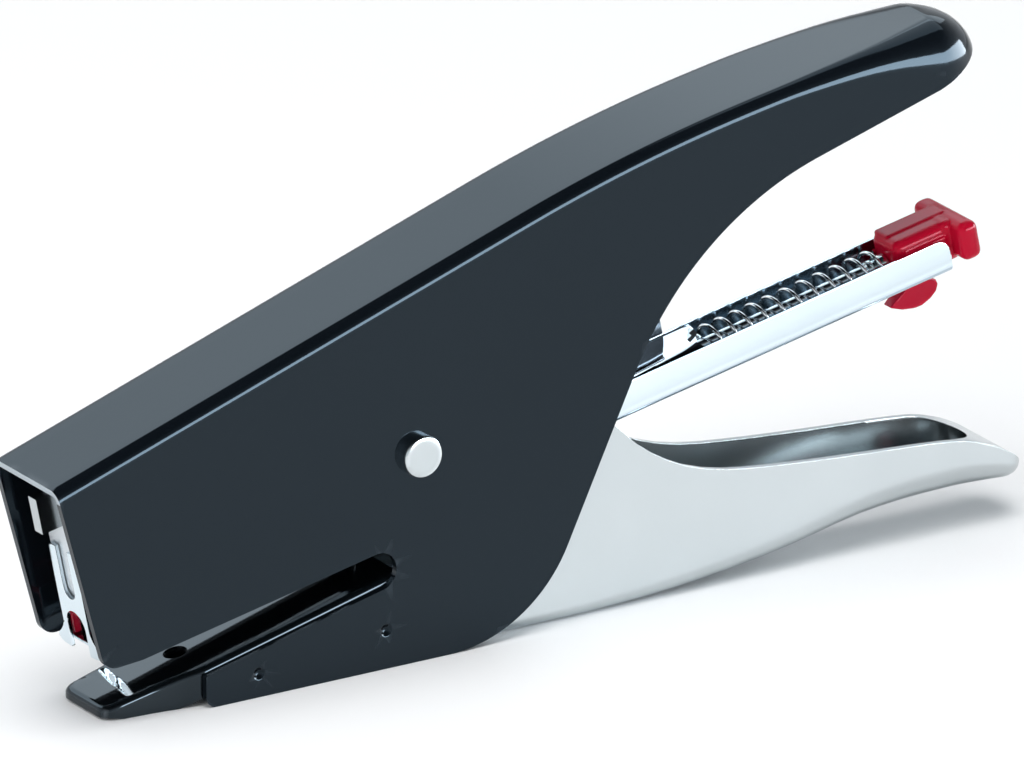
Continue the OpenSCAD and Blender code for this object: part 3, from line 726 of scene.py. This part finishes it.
# ---------------------------------------------------------------- anvil
def build_anvil():
    slope = math.tan(math.radians(14))
    rb = 1.0
    plan = [(66, 9.05), (58, 9.05), (50, 9.05), (42, 9.05), (36, 9.05), (31, 9.05), (28.9, 9.0),
            (27.6, 8.75), (26, 8.3), (24.4, 7.95), (22, 7.6), (19.5, 7.35), (17, 7.15), (14.5, 6.95),
            (12.8, 6.8), (12.0, 6.6), (11.3, 6.1), (10.95, 5.3), (10.9, 4.2), (10.9, 2.8), (10.9, 1.4)]
    outline = plan + [(10.9, 0)] + [(x, -y) for x, y in reversed(plan)]
    n = len(outline)

    def top(x):
        return 3.7 + (x - 17.2) * slope
    norms = []
    for i, p in enumerate(outline):
        a = outline[max(0, i - 1)]
        b = outline[min(n - 1, i + 1)]
        t = Vector((b[0] - a[0], b[1] - a[1])).normalized()
        norms.append((-t.y, t.x))
    # inward side: towards larger x at the front and towards y=0 on the flanks
    fixed = []
    for p, q in zip(outline, norms):
        inward = Vector((45 - p[0], -p[1] * 3))
        v = Vector(q)
        fixed.append(v if v.dot(inward) > 0 else -v)
    thetas = [math.radians(a) for a in (90, 70, 50, 32, 16, 0)]
    rows_ = []
    for p, q in zip(outline, fixed):
        line = []
        for t in thetas:
            d = rb * (1 - math.cos(t))
            x, y = p[0] + q.x * d, p[1] + q.y * d
            line.append((x, y, top(x) - rb * (1 - math.sin(t))))
        x, y = p
        if abs(y) < 6.4:
            low = top(x) - 1.75
        elif x < 13.6:
            low = top(x) - 1.75 - (top(x) - 1.85) * min(1, (x - 11.3) / 2.3)
        elif x < 25:
            low = 0.0
        elif x < 29:
            low = (x - 25) * 0.4
        else:
            low = 1.6 + (x - 29) * 0.0514
        last = line[-1]
        for f in (0.33, 0.66, 1.0):
            line.append((last[0], last[1], last[2] + (low - last[2]) * f))
        rows_.append(line)
    cols = len(rows_[0])
    verts = [row(*p) for line in rows_ for p in line]
    faces = grid_faces(n, cols)
    inner = [(line[0][0], line[0][1]) for line in rows_]
    hole = [(28.5 + 2 * math.cos(a * math.pi / 14), 2 * math.sin(a * math.pi / 14)) for a in range(28)]
    # two clinch pockets: diagonal grooves that cross in the middle
    cx = 17.2
    lattice = [(cx + i * 0.2, j * 0.22) for i in range(-8, 9) for j in range(-27, 28)]
    lattice = [p for p in lattice if inside(p, inner)]
    v2, tris = fill2d(inner, [hole], lattice)

    def groove(x, y, a, b, wide, deep):
        ab = Vector(b) - Vector(a)
        ap = Vector((x, y)) - Vector(a)
        t = max(0.0, min(1.0, ap.dot(ab) / ab.length_squared))
        d = (ap - ab * t).length / wide
        return deep * (1 - d) * (0.35 + 0.65 * math.sin(math.pi * t)) if d < 1 else 0.0

    def sink(x, y):
        return max(groove(x, y, (cx - 0.75, -5.3), (cx + 0.35, 0.9), 0.75, 0.75),
                   groove(x, y, (cx - 0.35, -0.9), (cx + 0.75, 5.3), 0.75, 0.75))
    base = len(verts)
    verts += [row(x, y, top(x) - sink(x, y)) for x, y in v2]
    faces += [tuple(i + base for i in f) for f in tris]

    def which(c, nrm):
        x, y = (c.x - NOSE) / MM, c.y / MM
        z = c.z / MM
        return 1 if abs(x - cx) < 1.6 and abs(y) < 6 and 0.03 < top(x) - z < 0.9 and nrm.z > 0 else 0
    ob = piece("anvil_plate_pressed", verts, faces, BLACK, "frame", "anvil_plate", "black_steel",
               thick=0.95, bevel=0.16, segs=2, weld=0.02, sharp=38, mats=[BRIGHT], face_mat=which)
    return ob


build_anvil()

# ---------------------------------------------------------------- driver and front plate
plate("driver_strip", [(-4.6, -6.5), (4.6, -6.5), (4.6, 7.5), (3.6, 7.5), (3.6, 18), (-3.6, 18), (-3.6, 7.5),
                       (-4.6, 7.5)],
      [[(-1.35, 9.7), (1.35, 9.7), (1.35, 16.5), (-1.35, 16.5)]],
      lambda a, b, d: mag(-61.5 + d, a, b), 0.5, BRUSHED, "driver", "driver_blade", "bright_steel",
      bevel=0.08)


def build_front_plate():
    right = [(4.05, 5.0), (4.05, -8.6), (4.15, -9.2), (4.6, -10.1), (5.5, -11.1), (6.45, -11.9), (6.6, -12.3),
             (6.4, -12.9), (5.9, -13.2), (5.0, -13.45), (3.1, -13.6), (2.85, -13.5)]
    arch = [(2.85, -13.2)] + arc(0, -9, 2.85, 0, 180, 20) + [(-2.85, -13.2)]
    left = [(-x, y) for x, y in reversed(right)]
    slot = [(-1.75, 5.5)] + arc(0, -2, 1.75, 180, 360, 14) + [(1.75, 5.5)]
    outer = slot + [(3.8, 5.5)] + right + arch + left + [(-3.8, 5.5)]
    return plate("front_plate_sheet", outer, [], lambda a, b, d: mag(-62.3 + d, a, b), 0.7, BRIGHT,
                 "magazine", "front_plate", "bright_steel", bevel=0.16)


build_front_plate()


# ---------------------------------------------------------------- magazine channel
def build_channel():
    half = 5.4
    rb = 1.35
    near = [(-half, -6.7), (-half, -8.4), (-half, -10.3), (-half + 0.2, -10.75), (-half + 0.2, -11.4)]
    near += [(-half + 0.2 + rb - rb * math.cos(t), -13 + rb - rb * math.sin(t))
             for t in [math.radians(a) for a in (0, 15, 30, 45, 60, 75, 90)]]
    near += [(-1.6, -13)]
    sect = near + [(0, -13)] + [(-y, v) for y, v in reversed(near)]
    us = [-60.9, -40, -20, 0, 20, 40, 60, 80, 97, 102, 104.6, 105.4, 106.1, 106.6, 106.9, 107]
    verts, mid = [], len(near)
    for u in us:
        d = max(0.0, u - 104.6)
        cap = -6.7 - (2.4 - math.sqrt(max(0.0, 2.4 ** 2 - d ** 2)))
        for i, (y, v) in enumerate(sect):
            verts.append(mag(u, y, min(v, cap)))
    cols = len(sect)
    slot_at = us.index(97)
    faces = grid_faces(len(us), cols, 0, lambda i, j: i >= slot_at and mid - 1 <= j <= mid)
    def within(c, nrm):
        q = c - PIVOT
        y, v = q.y / MM, q.dot(V) / MM
        # index 1 darkens the faces inside the channel: painted shade in the recess
        if abs(y) < 5.0 and v > -12.75 and (nrm.dot(V) > 0.3 or nrm.y * y < 0):
            return 1
        # index 2 darkens the down-facing faces of the lower bend: painted shade
        return 2 if v < -11.6 and nrm.dot(V) < -0.2 else 0
    return piece("magazine_channel_sheet", verts, faces, BRIGHT, "magazine", "magazine_channel",
                 "bright_steel", thick=0.55, bevel=0.1, segs=2, weld=0.002, sharp=30,
                 mats=[INSIDE_SHADE, SHADE], face_mat=within)


build_channel()


# ---------------------------------------------------------------- loader
lathe("guide_rod_turned", [(35.5, 0.8), (35.8, 1.1), (93.2, 1.1), (93.5, 1.55), (94.5, 1.6), (94.7, 1.3),
                           (95.1, 1.3), (95.3, 1.75), (97.2, 1.75), (97.4, 1.1), (103.5, 1.1)],
      mag(0, 0, -9), U, MIRROR, "loader", "guide_rod", "bright_steel", n=48)


def build_spring():
    """Helix pitched a little closer at each end, swept as a round wire"""
    lo, hi, turns, rad, wire = 61.75, 97.4, 11, 2.93, 0.3
    n = 44
    total = int(turns * n)
    path = []
    for i in range(total + 1):
        f = i / total
        a = 2 * math.pi * turns * f + 0.6
        # a little closer pitched at both ends
        g = f - 0.035 * math.sin(2 * math.pi * f) / (2 * math.pi) * 2
        path.append((lo + wire + (hi - lo - 2 * wire) * g, rad * math.cos(a), rad * math.sin(a)))
    pts = [mag(u, y, -9 + v) for u, y, v in path]
    verts, faces = [], []
    k = 10
    for i, p in enumerate(pts):
        t = (pts[min(i + 1, total)] - pts[max(i - 1, 0)]).normalized()
        centre = mag(path[i][0], 0, -9)
        out = (p - centre).normalized()
        out = (out - t * out.dot(t)).normalized()
        b = t.cross(out)
        for j in range(k):
            q = 2 * math.pi * j / k
            verts.append(p + (out * math.cos(q) + b * math.sin(q)) * (wire * MM))
    for i in range(total):
        for j in range(k):
            a, b2 = i * k + j, i * k + (j + 1) % k
            faces.append((a, b2, b2 + k, a + k))
    faces.append(tuple(reversed(range(k))))
    faces.append(tuple(range(total * k, total * k + k)))
    ob = piece("pusher_spring_wire", verts, faces, CHROME, "loader", "pusher_spring", "bright_steel",
               weld=0.0005, sharp=60)
    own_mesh(ob)
    return ob


build_spring()


def soft_box(bm, lo, hi, r, segs=3):
    """Box with rounded edges added to bm, given in u, y, v"""
    tmp = bmesh.new()
    bmesh.ops.create_cube(tmp, size=1)
    for v in tmp.verts:
        v.co = Vector(((lo[i] + hi[i]) / 2 + v.co[i] * (hi[i] - lo[i]) for i in range(3)))
    bmesh.ops.bevel(tmp, geom=list(tmp.edges), offset=r, segments=segs, profile=0.5,
                    affect="EDGES", clamp_overlap=True)
    me = bpy.data.meshes.new("tmp")
    tmp.to_mesh(me)
    tmp.free()
    bm.from_mesh(me)
    bpy.data.meshes.remove(me)


def build_knob():
    bm = bmesh.new()
    soft_box(bm, (97.5, -3.9, -12.1), (110.5, 3.9, -4.75), 1.5, 5)
    soft_box(bm, (98.3, -0.5, -6.5), (110.5, 3.75, -4.5), 0.45)
    soft_box(bm, (99.2, -4.25, -10.0), (107.6, 0, -6.6), 0.55)
    soft_box(bm, (108.2, -7.5, -11.4), (112.0, 7.5, -4.6), 1.4, 5)
    soft_box(bm, (106.6, -4.1, -11.5), (109.6, 3.9, -4.65), 1.0)
    soft_box(bm, (99.6, -1.2, -15.2), (104.4, 1.2, -11.5), 0.3)
    # tab: a flat leaf below the channel
    leaf = [(96.2, -16.7), (97.6, -15.7), (99.5, -14.8), (104.6, -14.5), (105.6, -15.2), (105.85, -16.1),
            (105.3, -17.2), (103.9, -18.1), (102.2, -18.6), (100.6, -18.55), (98.4, -17.9)]
    vs = [[bm.verts.new((u, s * 1.2, v)) for u, v in leaf] for s in (-1, 1)]
    bm.faces.new(vs[0])
    bm.faces.new(list(reversed(vs[1])))
    n = len(leaf)
    for i in range(n):
        bm.faces.new((vs[0][(i + 1) % n], vs[0][i], vs[1][i], vs[1][(i + 1) % n]))
    me = bpy.data.meshes.new("knob_moulding")
    bmesh.ops.recalc_face_normals(bm, faces=bm.faces)
    bm.to_mesh(me)
    bm.free()
    ob = bpy.data.objects.new("knob_moulding", me)
    bpy.context.scene.collection.objects.link(ob)
    m = ob.modifiers.new("union", "REMESH")
    m.mode = "VOXEL"
    m.voxel_size = 0.16
    m = ob.modifiers.new("soft", "SMOOTH")
    m.factor = 0.5
    m.iterations = 7
    bake(ob)
    for v in ob.data.vertices:
        v.co = mag(v.co.x, v.co.y, v.co.z)
    finish_piece(ob, RED, "loader", "knob", 0, 0, 0, 60, 45, (), None)
    return ob


build_knob()


# ---------------------------------------------------------------- pusher
def build_pusher_slide():
    """Inverted channel whose rear end is cut to a long curved point on the far side"""
    half, top, low = 4.7, -7.0, -12.2
    us = [-54, -30, 0, 20, 35, 38, 41, 44, 47, 50, 52.5, 55, 57, 58.8, 60.2, 61.1, 61.57]
    edge = curve([(-54, -half), (36, -half), (44, -4.0), (50, -3.0), (55, -1.6), (59, 0.2), (61.57, 2.2)])
    verts, faces = [], []
    for u in us:
        e = edge(u)
        w = half - e
        sag = 0.9 * max(0.0, (u - 44) / 17.57) ** 1.5
        line = []
        for t in (0, 0.2, 0.4, 0.6, 0.8, 1.0):
            line.append((e + w * t, top - sag * (1 - t) ** 2))
        line += [(half, top - 0.5), (half, -9), (half, low)]
        for y, v in line:
            verts.append(mag(u, y, v))
    faces += grid_faces(len(us), 9)
    # near flank, which curls down under the point
    base = len(verts)
    for u in us:
        e = edge(u)
        sag = 0.9 * max(0.0, (u - 44) / 17.57) ** 1.5
        out = -half if u < 44 else -half + 0.4 * (e + half)
        drop = max(0.0, (u - 44) / 17.57)
        for t in (0, 0.18, 0.38, 0.6, 0.8, 1.0):
            y = e + (out - e) * math.sin(t * math.pi / 2)
            v = (top - sag) - (2.2 + 0.9 * drop) * (1 - math.cos(t * math.pi / 2))
            verts.append(mag(u, y, v))
        verts.append(mag(u, out, low))
    faces += grid_faces(len(us), 7, base)

    # near flank faces from 30 mm back take index 1, the black flank material: painted shade and dark
    # reflection
    def which(c, nrm):
        q = c - PIVOT
        return 1 if q.dot(U) > 30 * MM and q.y < 4.2 * MM and abs(nrm.dot(V)) < 0.93 else 0
    return piece("pusher_slide_sheet", verts, faces, MIRROR, "pusher", "pusher_slide", "bright_steel",
                 thick=0.45, bevel=0.08, segs=2, weld=0.003, sharp=40, mats=[SHADOW], face_mat=which)


build_pusher_slide()


def build_pusher_tip():
    bm = bmesh.new()
    u0, u1 = -60.65, -54.1
    prof = [(-4.6, -12.1), (-4.6, -8.2), (-4.3, -7.5), (-3.6, -7.05), (3.6, -7.05), (4.3, -7.5), (4.6, -8.2),
            (4.6, -12.1), (3.85, -12.1), (3.85, -8.5), (-3.85, -8.5), (-3.85, -12.1)]
    a = [bm.verts.new(mag(u0, y, v)) for y, v in prof]
    b = [bm.verts.new(mag(u1, y, v)) for y, v in prof]
    n = len(prof)
    bm.faces.new(a)
    bm.faces.new(list(reversed(b)))
    for i in range(n):
        bm.faces.new((a[(i + 1) % n], a[i], b[i], b[(i + 1) % n]))
    bmesh.ops.recalc_face_normals(bm, faces=bm.faces)
    me = bpy.data.meshes.new("pusher_tip_moulding")
    bm.to_mesh(me)
    bm.free()
    ob = bpy.data.objects.new("pusher_tip_moulding", me)
    bpy.context.scene.collection.objects.link(ob)
    finish_piece(ob, RED, "pusher", "pusher_tip", 0, 0.2, 2, 40, 40, (), None)


build_pusher_tip()


# ---------------------------------------------------------------- lug on the far wall
def build_lug():
    prof = [(5.42, -11), (5.42, -3.3), (5.3, -2.9), (4.95, -2.65), (4.2, -2.6), (4.2, -2.05), (5.1, -2.1),
            (5.7, -2.35), (6.05, -2.9), (6.1, -3.4), (6.1, -11)]
    bm = bmesh.new()
    a = [bm.verts.new(mag(50, y, v)) for y, v in prof]
    b = [bm.verts.new(mag(57, y, v)) for y, v in prof]
    n = len(prof)
    bm.faces.new(a)
    bm.faces.new(list(reversed(b)))
    for i in range(n):
        bm.faces.new((a[(i + 1) % n], a[i], b[i], b[(i + 1) % n]))
    bmesh.ops.recalc_face_normals(bm, faces=bm.faces)
    me = bpy.data.meshes.new("spring_stop_lug")
    bm.to_mesh(me)
    bm.free()
    ob = bpy.data.objects.new("spring_stop_lug", me)
    bpy.context.scene.collection.objects.link(ob)
    finish_piece(ob, DARK, "magazine", "spring_stop", 0, 0.12, 2, 40, 50, (), None)


build_lug()

# ---------------------------------------------------------------- CAD nodes that stay
KEEP = {"pivot_washers": DARK, "return_spring": DARK, "magazine_saddle": BRIGHT, "saddle_rivets": BRIGHT,
        "staple_core": BRIGHT, "cover_strip": BRIGHT, "rod_collar": DARK, "knob_pin": BRIGHT}
for name, mat in KEEP.items():
    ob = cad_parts[name]
    for i in range(len(ob.material_slots)):
        ob.material_slots[i].material = mat
    if not ob.material_slots:
        ob.data.materials.append(mat)

# ---------------------------------------------------------------- floor, light, camera
def flat_material(name, colour, rough):
    m = bpy.data.materials.new(name)
    m.use_nodes = True
    sh = m.node_tree.nodes["Principled BSDF"]
    sh.inputs["Base Color"].default_value = (*colour, 1)
    sh.inputs["Roughness"].default_value = rough
    sh.inputs["Specular IOR Level"].default_value = 0.2
    return m


bm = bmesh.new()
bmesh.ops.create_circle(bm, cap_ends=True, radius=9, segments=96)
me = bpy.data.meshes.new("floor")
bm.to_mesh(me)
bm.free()
floor = bpy.data.objects.new("floor", me)
floor.location.z = CAD_BOX[0].z - 0.00002
floor.data.materials.append(flat_material("floor", (0.94, 0.945, 0.95), 0.6))
bpy.context.scene.collection.objects.link(floor)

world = bpy.data.worlds.new("studio")
bpy.context.scene.world = world
world.use_nodes = True
wn = world.node_tree
bg = wn.nodes["Background"]
tc = wn.nodes.new("ShaderNodeTexCoord")
sep = wn.nodes.new("ShaderNodeSeparateXYZ")
wr = wn.nodes.new("ShaderNodeValToRGB")
wn.links.new(tc.outputs["Generated"], sep.inputs[0])
wn.links.new(sep.outputs["Z"], wr.inputs[0])
wn.links.new(wr.outputs[0], bg.inputs[0])
# pale low down, bright behind at half height, dark overhead: the bends carry a dark band
stops = wr.color_ramp.elements
stops[0].position = 0.0
stops[0].color = (0.9, 0.95, 1.0, 1)
stops[1].position = 1.0
stops[1].color = (0.01, 0.012, 0.015, 1)
for pos, val in ((0.3, 0.85), (0.42, 0.55), (0.56, 0.30), (0.70, 0.10), (0.84, 0.02)):
    e = stops.new(pos)
    e.color = (val * 0.9, val * 0.95, val, 1)
bg.inputs[1].default_value = 1.0


def softbox(name, where, size, power, colour=(1, 1, 1), at=(0, 0, 0.045), diffuse=True, glossy=True):
    light = bpy.data.lights.new(name, "AREA")
    light.shape = "RECTANGLE"
    light.size, light.size_y = size
    light.energy = power
    light.color = colour
    ob = bpy.data.objects.new(name, light)
    ob.location = where
    d = Vector(at) - Vector(where)
    ob.rotation_mode = "QUATERNION"
    ob.rotation_quaternion = d.to_track_quat("-Z", "Y")
    ob.visible_diffuse = diffuse
    ob.visible_glossy = glossy
    bpy.context.scene.collection.objects.link(ob)
    return ob


softbox("front_strip", (1.45, -1.15, 0.38), (3.4, 0.76), 120, (0.90, 0.95, 1.0), diffuse=False)
softbox("rear_sheet", (0.30, 1.41, 1.17), (3.2, 0.66), 12, (0.80, 0.92, 1.0), diffuse=False)
softbox("rear_high", (0.92, 0.52, 1.46), (1.1, 0.8), 3.6, (0.80, 0.92, 1.0), diffuse=False)
softbox("overhead", (-0.25, -0.15, 1.7), (1.5, 1.5), 30, glossy=False)
softbox("left_fill", (-1.5, -0.5, 0.9), (0.8, 0.8), 8, glossy=False)

scene = bpy.context.scene
scene.view_settings.view_transform = "Standard"
cam_data = bpy.data.cameras.new("camera")
cam = bpy.data.objects.new("camera", cam_data)
scene.collection.objects.link(cam)
aim = Vector((-0.00159, 0, 0.04041))
back = Vector((-0.4994, -0.7936, 0.3476)).normalized()
CAMERA_DISTANCE = 4.655
cam.location = aim + back * CAMERA_DISTANCE
cam.rotation_mode = "QUATERNION"
cam.rotation_quaternion = (-back).to_track_quat("-Z", "Y")
cam_data.sensor_width = 36
cam_data.lens = 999.8
cam_data.clip_start = 1.0
cam_data.clip_end = 50
scene.camera = cam
